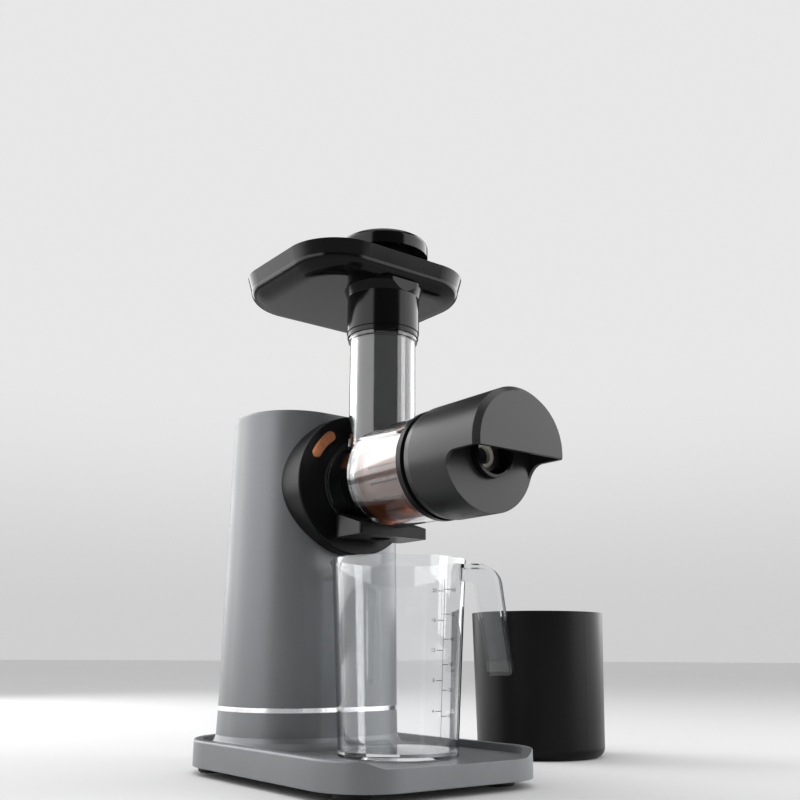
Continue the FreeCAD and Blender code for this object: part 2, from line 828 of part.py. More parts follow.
def gearbox_housing():
    rear = motor_front_x
    body = cyl_x(gearbox_radius, rear, gearbox_front_x)
    body = body.cut(cyl_x(gearbox_radius - gearbox_wall, rear + gearbox_wall,
        gearbox_front_x - gearbox_wall))
    body = body.cut(cyl_x(sun_radius_clear(), rear - 1, rear + gearbox_wall + 1))
    body = body.cut(cyl_x(output_shaft_radius + 1.0, gearbox_front_x - 10, gearbox_front_x + 1))
    nose = tube_x(bearing_outer_radius + 3, bearing_outer_radius + run_gap, bearing_rear_x(),
        gearbox_front_x)
    body = body.fuse(nose)
    body = body.cut(cyl_x(bearing_outer_radius + run_gap, bearing_rear_x(), gearbox_front_x + 1))
    return body.removeSplitter()


def sun_radius_clear():
    return motor_shaft_radius + 3.0


def bearing_rear_x():
    return gearbox_front_x - bearing_width


def output_bearing():
    """Shielded ball bearing: inner ring, and outer ring with its two dust shields."""
    x0 = bearing_rear_x()
    x1 = gearbox_front_x - run_gap
    inner = tube_x(output_shaft_radius + bearing_ring, output_shaft_radius + run_gap, x0, x1)
    outer = tube_x(bearing_outer_radius, bearing_outer_radius - bearing_ring, x0, x1)
    for x in (x0 + bearing_shield, x1 - 2 * bearing_shield):
        shield = tube_x(bearing_outer_radius - bearing_ring / 2,
            output_shaft_radius + bearing_ring + run_gap,
                        x, x + bearing_shield)
        outer = outer.fuse(shield)
    return Part.makeCompound([inner, outer.removeSplitter()])


def shaft_seal():
    """Lip seal between the gearbox nose and the socket."""
    x0 = gearbox_front_x
    x1 = boss_face_x - socket_depth - 3.0
    return tube_x(seal_outer_radius - 2.0, output_shaft_radius + run_gap, x0, x1)


def motor_can():
    body = cyl_x(motor_radius, motor_rear_x + 6, motor_front_x)
    body = body.cut(cyl_x(motor_radius - motor_wall, motor_rear_x + 5, motor_front_x - motor_wall))
    body = body.cut(cyl_x(sun_radius_clear(), motor_front_x - 5, motor_front_x + 1))
    for i in range(motor_port_count):
        port = cyl_z(motor_port_radius, 0, 20, 0, 0)
        port.translate(V(motor_front_x - 9, 0, drum_axis_z + motor_radius - 8))
        port.rotate(V(0, 0, drum_axis_z), V(1, 0, 0), 360.0 / motor_port_count * (i + 0.5))
        body = body.cut(port)
    return body


def motor_end_bell():
    x0 = motor_rear_x
    x1 = motor_rear_x + 6
    body = cyl_x(motor_radius, x0, x1)
    body = body.cut(cyl_x(motor_radius - 6, x0 + 2.5, x1 + 1))
    body = body.fuse(cyl_x(motor_radius - motor_wall - run_gap, x1 - 1, x1 + 3).cut(
        cyl_x(motor_radius - 6, x0 + 2.5, x1 + 4)))
    body = body.cut(cyl_x(motor_shaft_radius + run_gap, x0 - 1, x1 + 1))
    for i in range(8):
        slot = box(x0 - 1, x0 + 4, -2.0, 2.0, drum_axis_z + 12, drum_axis_z + 25)
        slot.rotate(V(0, 0, drum_axis_z), V(1, 0, 0), 45.0 * i)
        body = body.cut(slot)
    return body.removeSplitter()


def motor_magnets():
    r1 = motor_radius - motor_wall - run_gap
    parts = []
    for start in (30.0, 210.0):
        parts.append(sector_x(r1 - magnet_thickness, r1, motor_rear_x + 10, motor_front_x - 14, start,
            start + magnet_angle))
    return Part.makeCompound(parts)


def motor_rotor():
    """Slotted stack, commutator and shaft."""
    stack_x = motor_rear_x + 12
    stack = cyl_x(rotor_radius, stack_x, stack_x + rotor_stack_length)
    for i in range(rotor_slot_count):
        slot = box(stack_x - 1, stack_x + rotor_stack_length + 1, -rotor_slot_width / 2,
            rotor_slot_width / 2,
                   drum_axis_z + rotor_radius - rotor_slot_depth, drum_axis_z + rotor_radius + 1)
        slot.rotate(V(0, 0, drum_axis_z), V(1, 0, 0), 360.0 / rotor_slot_count * i)
        stack = stack.cut(slot)
    shaft = cyl_x(motor_shaft_radius, motor_rear_x - 1, gear_rear_x + gear_width)
    commutator = cyl_x(commutator_radius, stack_x + rotor_stack_length,
        stack_x + rotor_stack_length + commutator_length)
    return stack.fuse(shaft).fuse(commutator).removeSplitter()


def bracket_x():
    return motor_front_x + 6


def bracket_screw_places():
    x = bracket_x() - bracket_foot_length / 2 - 1
    y = bracket_half_width - bracket_foot_width / 2
    return ((x, -y), (x, y))


def motor_bracket():
    """Plate across the tower that carries motor and gearbox, with feet on the base floor."""
    x0 = bracket_x()
    x1 = x0 + bracket_thickness
    half = bracket_half_width
    low = drum_axis_z - gearbox_radius - 8
    plate = box(x0, x1, -half, half, low, drum_axis_z + gearbox_radius + 8)
    plate = plate.cut(cyl_x(gearbox_radius + run_gap, x0 - 1, x1 + 1))
    for y in (-half, half - bracket_foot_width):
        leg = box(x0, x1, y, y + bracket_foot_width, base_floor_z, low)
        foot = box(x0 - bracket_foot_length, x1, y, y + bracket_foot_width, base_floor_z,
            base_floor_z + bracket_thickness)
        plate = plate.fuse(leg).fuse(foot)
    tie_z = (base_floor_z + low) / 2
    plate = plate.fuse(box(x0, x1, -half, half, tie_z, tie_z + bracket_foot_width))
    for x, y in bracket_screw_places():
        plate = plate.cut(cyl_z(bracket_screw_radius, base_floor_z - 1,
            base_floor_z + bracket_thickness + 1, x, y))
    return plate.removeSplitter()


def bracket_screws():
    screws = []
    z = base_floor_z + bracket_thickness
    for x, y in bracket_screw_places():
        shank = cyl_z(bracket_screw_radius - run_gap, base_floor_z - base_wall, z, x, y)
        head = cyl_z(2 * bracket_screw_radius, z, z + 2.2, x, y)
        screws.append(shank.fuse(head).removeSplitter())
    return Part.makeCompound(screws)


def cooling_fan():
    """Small axial fan on the rear of the motor shaft, inside the end bell."""
    x0 = motor_rear_x + 3.2
    hub = tube_x(8.0, motor_shaft_radius, x0, x0 + fan_thickness)
    fan = hub
    for i in range(fan_blade_count):
        blade = box(x0, x0 + fan_thickness, -0.8, 0.8, drum_axis_z + 7, drum_axis_z + fan_radius - 1.5)
        blade.rotate(V(x0 + fan_thickness / 2, 0, drum_axis_z), V(0, 0, 1), 28)
        blade = blade.common(box(x0, x0 + fan_thickness, -60, 60, drum_axis_z, drum_axis_z + 60))
        blade.rotate(V(0, 0, drum_axis_z), V(1, 0, 0), 360.0 / fan_blade_count * i)
        fan = fan.fuse(blade)
    return fan.removeSplitter()


def drum_hub():
    """Black hub that locks in the bayonet socket and carries the drum cover."""
    body = tube_x(hub_radius, hub_bore_radius, hub_start_x, hub_end_x)
    for i in range(bayonet_count):
        start = bayonet_first_deg + 360.0 / bayonet_count * i - bayonet_lug_angle / 2
        lug = sector_x(hub_radius - 1, hub_radius + bayonet_lug_height, lug_rear_x(),
                       lug_rear_x() + bayonet_lug_thickness, start, start + bayonet_lug_angle)
        body = body.fuse(lug)
    x1 = boss_face_x - boss_wall - 2.5
    groove = sector_x(hub_radius - latch_depth + 1.2, hub_radius + 1, x1 - 3.0 - release_travel - 1.0,
        x1 + 1.0,
                      latch_deg() - bayonet_twist - 9, latch_deg() + bayonet_twist + 9)
    body = body.cut(groove)
    floor = cyl_x(hub_bore_radius + 0.5, hub_end_x - 4.0, hub_end_x)
    floor = floor.cut(cyl_x(auger_collar_radius() + fit_gap, hub_end_x - 5, hub_end_x + 1))
    return body.fuse(floor).removeSplitter()


def auger_collar_radius():
    return drive_hex_flats / 2 + 5.0


def drum_cover():
    """Clear neck, drum and chute in one moulding."""
    outer = revolve_x([
        (neck_start_x, 0), (neck_start_x, neck_radius), (neck_end_x, neck_radius),
        (neck_end_x, drum_radius), (drum_end_x, drum_radius), (drum_end_x, 0)])
    outer = outer.fuse(cyl_z(chute_radius, drum_axis_z, chute_top_z, chute_x, 0))
    outer = outer.fuse(cyl_z(chute_radius + 1.6, chute_ring_z - 3.0, chute_ring_z, chute_x, 0))
    outer = outer.fuse(cyl_z(spout_tube_radius, spout_low_z + spout_seat_height, drum_axis_z,
        spout_outlet_x, 0))
    sleeve_r = hub_radius + run_gap
    neck_inner = neck_radius - drum_wall
    drum_inner = drum_radius - drum_wall
    step_x = neck_end_x + drum_wall
    inner = revolve_x([
        (neck_start_x - 1, 0), (neck_start_x - 1, sleeve_r), (hub_end_x, sleeve_r), (hub_end_x,
            neck_inner),
        (step_x, neck_inner), (step_x, drum_inner), (drum_end_x + 1, drum_inner), (drum_end_x + 1, 0)])
    body = outer.cut(inner)
    bore = cyl_z(chute_radius - chute_wall, drum_axis_z, chute_top_z + 1, chute_x, 0)
    floor_z = drum_axis_z + neck_radius + chute_floor
    bore = bore.cut(box(neck_start_x - 5, hub_end_x + 1.5, -60, 60, drum_axis_z - 60, floor_z))
    body = body.cut(bore)
    body = body.cut(cyl_z(spout_tube_radius - spout_tube_wall, spout_low_z, drum_axis_z, spout_outlet_x,
        0))
    return body.removeSplitter()


def drum_seal():
    """Soft ring between the hub's flange and the clear neck."""
    return tube_x(neck_radius + 1.2, hub_radius + 0.4, neck_start_x - drum_seal_thickness + 0.6,
        neck_start_x)


def drum_lock_ring():
    body = tube_x(lock_ring_radius, drum_radius + run_gap, drum_end_x - lock_ring_grip, drum_end_x)
    body = body.fuse(tube_x(lock_ring_radius, filter_radius + run_gap, drum_end_x, lock_ring_end_x))
    return body.removeSplitter()


def juice_filter():
    """Amber filter basket with long slots and a centring rim at its rear."""
    body = tube_x(filter_radius, filter_radius - filter_wall, filter_start_x, filter_end_x)
    for i in range(filter_slot_count):
        slot = box(filter_slots_mid_x - filter_slot_length / 2,
            filter_slots_mid_x + filter_slot_length / 2,
                   -filter_slot_width / 2, filter_slot_width / 2,
                   drum_axis_z + filter_radius - 4, drum_axis_z + filter_radius + 2)
        slot.rotate(V(0, 0, drum_axis_z), V(1, 0, 0), 360.0 / filter_slot_count * (i + 0.5))
        body = body.cut(slot)
    rim = tube_x(drum_radius - drum_wall - run_gap, filter_radius - 0.5, filter_start_x + 1,
        filter_start_x + 3)
    return body.fuse(rim).removeSplitter()


def auger_wire(x, turn_deg, core_r, r):
    """Section across the auger: core arcs, two flanks and the flight's tip."""
    half = auger_flight_angle / 2
    tip = auger_tip_angle / 2
    a = turn_deg
    edges = [
        line_edge(on_axis(core_r, a - half, x), on_axis(r, a - tip, x)),
        arc_edge(on_axis(r, a - tip, x), on_axis(r, a, x), on_axis(r, a + tip, x)),
        line_edge(on_axis(r, a + tip, x), on_axis(core_r, a + half, x)),
        arc_edge(on_axis(core_r, a + half, x), on_axis(core_r, a + half + 74, x),
            on_axis(core_r, a + 180, x)),
        arc_edge(on_axis(core_r, a + 180, x), on_axis(core_r, a - half - 74, x),
            on_axis(core_r, a - half, x)),
    ]
    return Part.Wire(edges)


def auger():
    """Screw with one rising flight on a core that widens towards the outlet."""
    x0 = hub_end_x + 1.0
    x1 = auger_end_x
    turns = (x1 - x0) / auger_pitch
    count = int(round(turns * 360.0 / auger_section_step_deg))
    wires = []
    for i in range(count + 1):
        t = i / count
        core = auger_core_start_radius + t * (auger_core_end_radius - auger_core_start_radius)
        x = x0 + t * (x1 - x0)
        step = min(1.0, max(0.0, (x - auger_step_x) / auger_step_length))
        flight = auger_neck_radius + step * (auger_drum_radius - auger_neck_radius)
        wires.append(auger_wire(x, 90 - t * turns * 360.0, core, flight))
    screw = Part.makeLoft(wires, True, True)
    start = boss_face_x - socket_depth + 2.0
    collar = cyl_x(auger_collar_radius(), start, x0)
    body = screw.fuse(collar)
    body = body.fuse(cyl_x(auger_nose_radius, x1, x1 + auger_nose_length))
    socket = cyl_x(auger_insert_radius() + run_gap, start - 1, start + drive_hex_length + 2)
    return body.cut(socket).removeSplitter()


def auger_insert_radius():
    return drive_hex_flats / math.sqrt(3) + 1.2


def auger_insert():
    """Metal drive socket pressed into the auger."""
    start = boss_face_x - socket_depth + 2.0
    body = cyl_x(auger_insert_radius(), start, start + drive_hex_length + 1.8)
    return body.cut(hexagon(drive_hex_flats + 2 * run_gap, start - 1, start + drive_hex_length + 0.2))


def auger_tip_bush():
    """Bush in the end cap that carries the auger's nose."""
    x1 = cap_recess_x - cap_wall - 3.0
    x0 = auger_end_x + 2.0
    return tube_x(auger_nose_radius + 3.0, auger_nose_radius + run_gap, x0, x1)


def spout_block():
    """Juice outlet under the drum: slanted top, rounded rear corner and a round outlet."""
    profile = [
        V(spout_rear_x, -spout_half_y, spout_low_z + spout_rear_chamfer),
        V(spout_rear_x + spout_rear_chamfer, -spout_half_y, spout_low_z),
        V(spout_front_x, -spout_half_y, spout_low_z),
        V(spout_front_x, -spout_half_y, spout_front_top_z),
        V(spout_rear_x, -spout_half_y, spout_rear_top_z),
    ]
    face = Part.Face(Part.makePolygon(profile + profile[:1]))
    body = face.extrude(V(0, 2 * spout_half_y, 0))
    plan = rounded_block(spout_rear_x, spout_front_x, -spout_half_y, spout_half_y,
                         spout_corner_r, spout_front_r, spout_low_z - 1, spout_rear_top_z + 1)
    body = body.common(plan)
    body = body.cut(cyl_x(neck_radius + fit_gap, spout_rear_x - 5, neck_end_x + fit_gap))
    body = body.cut(cyl_x(drum_radius + fit_gap, neck_end_x - fit_gap, spout_front_x + 5))
    body = body.cut(cyl_x(hub_radius + 6, spout_rear_x - 5, neck_start_x + 3))
    body = body.cut(cyl_z(spout_tube_radius + run_gap, spout_low_z + spout_seat_height, drum_axis_z,
        spout_outlet_x, 0))
    body = body.cut(cyl_z(spout_outlet_radius, spout_low_z - 1, drum_axis_z, spout_outlet_x, 0))
    return body


def end_cap():
    """Cap shell: shoulder, barrel, bevelled hood face and the cut-back lower half."""
    outer = revolve_x([
        (cap_start_x, 0), (cap_start_x, cap_shoulder_radius), (cap_start_x + cap_shoulder_length / 3,
            cap_radius - 1.2),
        (cap_start_x + cap_shoulder_length, cap_radius),
        (cap_face_x - cap_bevel, cap_radius), (cap_face_x, cap_face_radius), (cap_face_x, 0)])
    back = cap_recess_x - cap_wall
    inner = revolve_x([
        (cap_start_x - 1, 0), (cap_start_x - 1, cap_shoulder_radius - cap_wall),
        (cap_start_x + cap_shoulder_length, cap_radius - cap_wall), (back, cap_radius - cap_wall), (back,
            0)])
    body = outer.cut(inner).cut(hood_cutter())
    pocket = cyl_x(cap_radius - cap_wall, cap_recess_x, cap_face_x - cap_wall)
    body = body.cut(pocket.common(box(cap_recess_x, cap_face_x, -60, 60,
        hood_under_z - hood_side_fillet - 1,
                                      drum_axis_z + 60)))
    body = body.cut(cyl_x(nozzle_radius, back - 1, cap_recess_x + 1))
    body = body.fuse(tube_x(nozzle_radius + cap_wall, nozzle_radius, nose_carrier_x(), back))
    carrier_r = auger_nose_radius + 3.0
    body = body.fuse(tube_x(carrier_r + 2.5, carrier_r + run_gap, nose_carrier_x(), back - 0.3))
    for i in range(spider_count):
        web = box(nose_carrier_x() + 1, back - 0.3, -spider_web / 2, spider_web / 2,
                  drum_axis_z + carrier_r + 1, drum_axis_z + nozzle_radius + 1)
        web.rotate(V(0, 0, drum_axis_z), V(1, 0, 0), 360.0 / spider_count * i)
        body = body.fuse(web)
    return body.removeSplitter()


def nose_carrier_x():
    return auger_end_x + 8.0


def hood_cutter():
    """Space under the hood: flat below the hood, rounded where it meets the recess."""
    y0 = -cap_radius - 2
    x1 = cap_face_x + 2
    low = drum_axis_z - cap_radius - 2
    r = hood_side_fillet
    a = V(x1, y0, hood_under_z)
    b = V(cap_recess_x + r, y0, hood_under_z)
    k = 1 - math.sqrt(0.5)
    m = V(cap_recess_x + k * r, y0, hood_under_z - k * r)
    c = V(cap_recess_x, y0, hood_under_z - r)
    d = V(cap_recess_x, y0, low)
    e = V(x1, y0, low)
    edges = [line_edge(a, b), arc_edge(b, m, c), line_edge(c, d), line_edge(d, e), line_edge(e, a)]
    return Part.Face(Part.Wire(edges)).extrude(V(0, 2 * cap_radius + 4, 0))


def pulp_nozzle():
    """Glossy outlet ring seated in the recess of the end cap."""
    x0 = cap_recess_x - cap_wall
    return tube_x(nozzle_radius - run_gap, nozzle_radius - nozzle_wall, x0, x0 + nozzle_length)


def cap_gasket():
    return tube_x(cap_shoulder_radius - fit_gap, cap_shoulder_radius - cap_wall, lock_ring_end_x,
        cap_start_x)


def chute_ring():
    return tube_z(chute_radius + 2.4, chute_radius + run_gap, chute_ring_z,
        chute_ring_z + chute_ring_height, chute_x, 0)


def tray_section(inset, z):
    return rounded_wire(
        tray_rear_x + inset, tray_front_x - inset, inset - tray_half_y, tray_half_y - inset,
        tray_corner_r - inset, tray_corner_r - inset, z)


def tray_form(inset, rise):
    """Hopper form: leaning rim, then a rounded turn in to the flat underside."""
    mid_z = tray_rim_z - tray_rim_height
    rim = loft([tray_section(inset, tray_rim_z + rise),
        tray_section(inset + tray_rim_draft, mid_z + rise)])
    wires = []
    for i in range(tray_sections):
        a = math.radians(90.0 * i / (tray_sections - 1))
        d = inset + tray_rim_draft + tray_under_inset * (1 - math.cos(a))
        wires.append(tray_section(d, mid_z + rise - (mid_z - tray_under_z) * math.sin(a)))
    return rim.fuse(Part.makeLoft(wires, True, False))


def feed_tray():
    body = tray_form(0, 0)
    outer_r = chute_radius + tray_collar_wall
    top = tray_under_z + tray_wall - 0.5
    collar = revolve_z([
        (0, tray_collar_low_z), (outer_r, tray_collar_low_z), (outer_r,
            tray_under_z - tray_collar_flare_height),
        (outer_r + tray_collar_flare, tray_under_z), (outer_r + tray_collar_flare, top), (0,
            top)], chute_x, 0)
    collar = collar.common(rounded_block(
        tray_rear_x, tray_front_x - tray_wall, -tray_half_y, tray_half_y, tray_corner_r, tray_corner_r - tray_wall,
        tray_collar_low_z - 1, tray_rim_z))
    body = body.cut(tray_form(tray_wall, tray_wall)).fuse(collar)
    body = body.cut(cyl_z(chute_radius + run_gap, tray_collar_low_z - 1, chute_top_z + fit_gap, chute_x,
        0))
    body = body.cut(cyl_z(chute_radius - chute_wall, tray_collar_low_z, tray_rim_z + 1, chute_x, 0))
    return body.removeSplitter()


def pusher_body():
    """Hollow plunger with a cupped foot."""
    top = pusher_disc_low_z + 4
    outer = cyl_z(pusher_radius, pusher_low_z, top, chute_x, 0)
    outer = outer.makeFillet(2.0, edges_at_z(outer, pusher_low_z))
    inner = cyl_z(pusher_radius - pusher_wall, pusher_low_z + pusher_wall, top + 1, chute_x, 0)
    dish = Part.makeSphere(60.0, V(chute_x, 0, pusher_low_z - 58.0))
    return outer.cut(inner).cut(dish)


def pusher_cap():
    """Grip disc with a stem collar that fits over the plunger's top."""
    disc = cyl_z(pusher_disc_radius, pusher_disc_low_z, pusher_disc_top_z, chute_x, 0)
    disc = disc.makeFillet(pusher_disc_fillet, edges_at_z(disc, pusher_disc_top_z))
    stem_low = tray_rim_z - pusher_stem_drop
    disc = disc.fuse(cyl_z(pusher_stem_radius, stem_low, pusher_disc_low_z + 1, chute_x, 0))
    disc = disc.cut(cyl_z(pusher_radius + run_gap, stem_low - 1, pusher_disc_low_z + 4, chute_x, 0))
    return disc.removeSplitter()


def jug_profile(wall, low, top):
    slope = (jug_rim_radius - jug_foot_radius) / (jug_top_z - jug_low_z)
    r0 = jug_foot_radius + slope * (low - jug_low_z) - wall
    r1 = jug_foot_radius + slope * (top - jug_low_z) - wall
    return Part.makeCone(r0, r1, top - low, V(jug_x, 0, low))


def juice_jug():
    """Tapered jug with a pouring lip and an open-ended hooked handle."""
    body = jug_profile(0, jug_low_z, jug_top_z)
    lip_low = jug_top_z - 14
    lip = Part.makeCone(2.0, jug_spout_reach + 3, jug_top_z - lip_low,
        V(jug_x - jug_rim_radius + 4.5, 0, lip_low))
    body = body.fuse(lip)
    inner = jug_profile(jug_wall, jug_low_z + jug_floor, jug_top_z + 0.01)
    lip_in = Part.makeCone(0.5, jug_spout_reach + 1.2, jug_top_z - lip_low - 1.5 + 0.01,
                           V(jug_x - jug_rim_radius + 4.5, 0, lip_low + 1.5))
    body = body.cut(inner).cut(lip_in)
    foot_dish = Part.makeCone(jug_foot_radius - 4, jug_foot_radius - 7, 1.6,
        V(jug_x, 0, jug_low_z - 0.01))
    body = body.cut(foot_dish)
    body = body.fuse(jug_handle())
    body = body.removeSplitter()
    body.rotate(V(jug_x, 0, 0), V(0, 0, 1), jug_turn_deg)
    return body


def handle_outline(wall, reach_in, y):
    """Corners of the handle's side view, moved in by a wall where it isn't open to the jug."""
    top = jug_top_z - handle_top_drop
    low = top - handle_drop
    outer = jug_x + jug_rim_radius + handle_reach
    root = jug_x + jug_rim_radius - jug_wall - reach_in
    inner = outer - handle_depth - reach_in
    return [
        V(root, y, top - wall), V(outer - wall, y, top - wall), V(outer + handle_lean - wall, y,
            low + wall),
        V(inner + handle_lean, y, low + wall), V(inner, y, top - handle_arm - reach_in), V(root, y,
            top - handle_arm - reach_in),
    ]


def rounded_prism(points, radii, depth):
    """Plate along Y from corner points, with a radius for each listed corner."""
    body = Part.Face(Part.makePolygon(points + points[:1])).extrude(V(0, depth, 0))
    for index, radius in radii:
        p = points[index]
        corner = [e for e in body.Edges if e.BoundBox.YLength > depth - 1e-3
                  and abs(e.BoundBox.Center.x - p.x) < 1e-3 and abs(e.BoundBox.Center.z - p.z) < 1e-3]
        body = body.makeFillet(radius, corner)
    return body


def jug_handle():
    """Hooked handle with a free lower end, hollowed from the jug's side."""
    outer = handle_outline(0, 0, -handle_width / 2)
    body = rounded_prism(outer, [(1, handle_corner_r), (2, handle_end_r), (3, handle_end_r),
        (4, handle_end_r)], handle_width)
    pocket = handle_outline(handle_wall, handle_wall, handle_wall - handle_width / 2)
    body = body.cut(rounded_prism(pocket, [(1, handle_corner_r - handle_wall)],
        handle_width - 2 * handle_wall))
    return body.cut(jug_profile(0.5 * jug_wall, jug_low_z, jug_top_z))


def pulp_container():
    outer = Part.makeCone(pulp_foot_radius, pulp_radius, pulp_height, V(pulp_x, pulp_y, 0))
    outer = outer.makeFillet(pulp_edge_r, edges_at_z(outer, 0.0))
    inner = Part.makeCone(pulp_foot_radius - pulp_wall, pulp_radius - pulp_wall, pulp_height,
                          V(pulp_x, pulp_y, pulp_wall))
    inner = inner.makeFillet(pulp_edge_r - pulp_wall, edges_at_z(inner, pulp_wall))
    return outer.cut(inner)


def build_all():
    nodes = {
        "base_tray": base_tray, "base_cover": base_cover, "rubber_feet": rubber_feet,
        "cover_screws": cover_screws, "tower_plinth": tower_plinth, "trim_band": trim_band,
        "tower_housing": tower_housing, "top_panel": top_panel, "control_plate": control_plate,
        "control_board": control_board, "cord_gland": cord_gland, "boss_housing": boss_housing,
        "bayonet_socket": bayonet_socket, "release_button": release_button, "latch_arm": latch_arm,
        "release_spring": release_spring, "motor_bracket": motor_bracket, "bracket_screws": bracket_screws,
        "motor_can": motor_can, "motor_end_bell": motor_end_bell, "motor_magnets": motor_magnets,
        "motor_rotor": motor_rotor, "cooling_fan": cooling_fan, "gearbox_housing": gearbox_housing,
        "ring_gear": ring_gear, "sun_pinion": sun_pinion, "planet_carrier": planet_carrier,
        "output_bearing": output_bearing, "shaft_seal": shaft_seal, "drive_hex": drive_hex,
        "drum_hub": drum_hub, "drum_cover": drum_cover, "drum_seal": drum_seal,
        "drum_lock_ring": drum_lock_ring, "juice_filter": juice_filter, "spout_block": spout_block,
        "auger": auger, "auger_insert": auger_insert, "auger_tip_bush": auger_tip_bush,
        "end_cap": end_cap, "pulp_nozzle": pulp_nozzle, "cap_gasket": cap_gasket,
        "chute_ring": chute_ring, "feed_tray": feed_tray, "pusher_body": pusher_body,
        "pusher_cap": pusher_cap, "juice_jug": juice_jug, "pulp_container": pulp_container,
    }
    shapes = {name: make() for name, make in nodes.items()}
    for i in range(planet_count):
        shapes[f"planet_gear_{i + 1}"] = planet_gear(i)
    first, second = button_places()
    shapes["start_button"] = control_button(first)
    shapes["reverse_button"] = control_button(second)
    return shapes


os.makedirs("parts", exist_ok=True)
for name, shape in build_all().items():
    shape.translate(V(-origin_x, -origin_y, 0))
    shape.exportStep(f"parts/{name}.step")
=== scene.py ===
import bpy
import json
import math
from mathutils import Matrix, Vector


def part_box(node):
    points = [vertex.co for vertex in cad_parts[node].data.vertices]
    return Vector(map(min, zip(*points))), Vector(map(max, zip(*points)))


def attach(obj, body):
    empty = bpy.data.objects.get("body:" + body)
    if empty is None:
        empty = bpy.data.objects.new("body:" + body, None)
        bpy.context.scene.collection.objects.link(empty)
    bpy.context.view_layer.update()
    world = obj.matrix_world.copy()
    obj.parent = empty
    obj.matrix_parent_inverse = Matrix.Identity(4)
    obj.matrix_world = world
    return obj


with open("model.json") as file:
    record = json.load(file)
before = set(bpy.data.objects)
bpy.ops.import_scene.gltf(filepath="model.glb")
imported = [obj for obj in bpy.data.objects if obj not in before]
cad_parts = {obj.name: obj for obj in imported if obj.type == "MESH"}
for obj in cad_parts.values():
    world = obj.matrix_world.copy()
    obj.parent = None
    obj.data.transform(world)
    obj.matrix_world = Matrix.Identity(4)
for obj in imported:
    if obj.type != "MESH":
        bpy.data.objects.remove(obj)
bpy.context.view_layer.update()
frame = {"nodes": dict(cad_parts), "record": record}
nodes = frame["nodes"]

MM = 0.001

# Photograph: where its camera stood, from the tower's axis on the worktop, and how it looked
CAMERA_PLACE = Vector((0.6748, -0.4248, 0.085))
CAMERA_TURN = math.radians(52.66)
CAMERA_TILT = math.radians(15.27)
CAMERA_ROLL = math.radians(0.25)
CAMERA_FOCAL_PX = 947.5
IMAGE_PX = 800.0
SENSOR_MM = 36.0

# Studio
FLOOR_SIZE = 60.0
FLOOR_COLOUR = (0.70, 0.70, 0.70)
FLOOR_ROUGHNESS = 0.9
FLOOR_SHINE = 0.05
BACKGROUND = (0.80, 0.80, 0.80)

# Background strength at eye level, and the height as a sine where it reaches 1
HORIZON_STRENGTH = 0.78
HORIZON_RISE = 0.30

# Strength of the diffuse fill, and of the dark studio between the softboxes in reflections
FILL_STRENGTH = 0.85
REFLECTED_DARK = 0.12

# Softboxes as seen in reflections: bearing from the camera's side and half width in degrees,
# low and high edge as sines of their heights, strength. The last one is overhead.
WINDOWS = [
    (-95.0, 60.0, 0.0, 0.80, 5.0),
    (98.0, 48.0, -0.10, 0.72, 5.0),
    (0.0, 181.0, 0.90, 1.10, 2.5),
]
WINDOW_SOFTNESS = 0.05
FULL_TURN_EDGE = -2.0

# Lamps, from the tower's axis: name, place, width, height, power
LAMP_TARGET = Vector((0.08, 0.0, 0.22))
LAMPS = [
    ("left_softbox", Vector((-1.25, -0.45, 0.75)), 1.0, 1.1, 16.0),
    ("right_softbox", Vector((1.1, 1.0, 0.6)), 0.5, 1.2, 9.0),
    ("top_softbox", Vector((0.1, -0.2, 1.6)), 1.0, 1.0, 6.0),
]

# Jug, from the tower's axis and the worktop
JUG_OFFSET = 117.6 * MM
JUG_LOW = 20.3 * MM
JUG_TOP = 154.3 * MM
JUG_FOOT_RADIUS = 42.1 * MM
JUG_RIM_RADIUS = 48.9 * MM

# Jug scale: bearings in degrees of its dividing line, marks and numbers, and heights of the marks
SCALE_BEARING = 4.0
MARK_REACH = 7.0
NUMBER_REACH = 8.5
STRIP_STEP = 2.0
SCALE_LOW = 34.0 * MM
SCALE_HIGH = 138.0 * MM
LEFT_MARKS = {"20": 130.0, "16": 110.4, "12": 90.6, "8": 70.9, "4": 51.1}
RIGHT_MARKS = {"600": 131.4, "500": 114.7, "400": 98.0, "300": 81.2, "200": 64.5, "100": 47.8}
MARK_PROUD = 0.12 * MM
MARK_THICK = 0.45 * MM
DIGIT_HEIGHT = 3.6 * MM

# Raised disc on the pusher's grip
CROWN_RADIUS = 20.0 * MM
CROWN_HEIGHT = 2.0 * MM
CROWN_EDGE = 0.9 * MM
CROWN_SEAT = 0.2 * MM
CROWN_EDGE_STEPS = 5
LATHE_SEGMENTS = 96

# Noise scales of gloss wear, of the ways a clear wall varies, and of the floor's tint
WEAR_SCALE = 18.0
CLEAR_SCALE = 35.0
FLOOR_SCALE = 2.0

# Colours, as linear values
GREY = (0.165, 0.172, 0.180)
BLACK = (0.0055, 0.0055, 0.006)
DARK = (0.013, 0.013, 0.0135)
INK = (0.05, 0.05, 0.055)
GLOSS_BLACK = (0.0035, 0.0035, 0.004)
COPPER = (0.62, 0.26, 0.13)
CHROME = (0.82, 0.82, 0.83)
AMBER = (0.66, 0.16, 0.012)
CLEAR = (0.97, 0.98, 0.99)
STEEL = (0.50, 0.50, 0.52)
NYLON = (0.72, 0.69, 0.60)
RUBBER = (0.016, 0.016, 0.016)
MAGNET = (0.03, 0.03, 0.033)
BOARD = (0.015, 0.12, 0.05)


def centre(node):
    low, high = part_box(node)
    return (low + high) / 2


tower = centre("tower_housing")
tower_axis = Vector((tower.x, tower.y, 0.0))


def node_tree(name):
    material = bpy.data.materials.new(name)
    material.use_nodes = True
    tree = material.node_tree
    return material, tree, tree.nodes["Principled BSDF"]


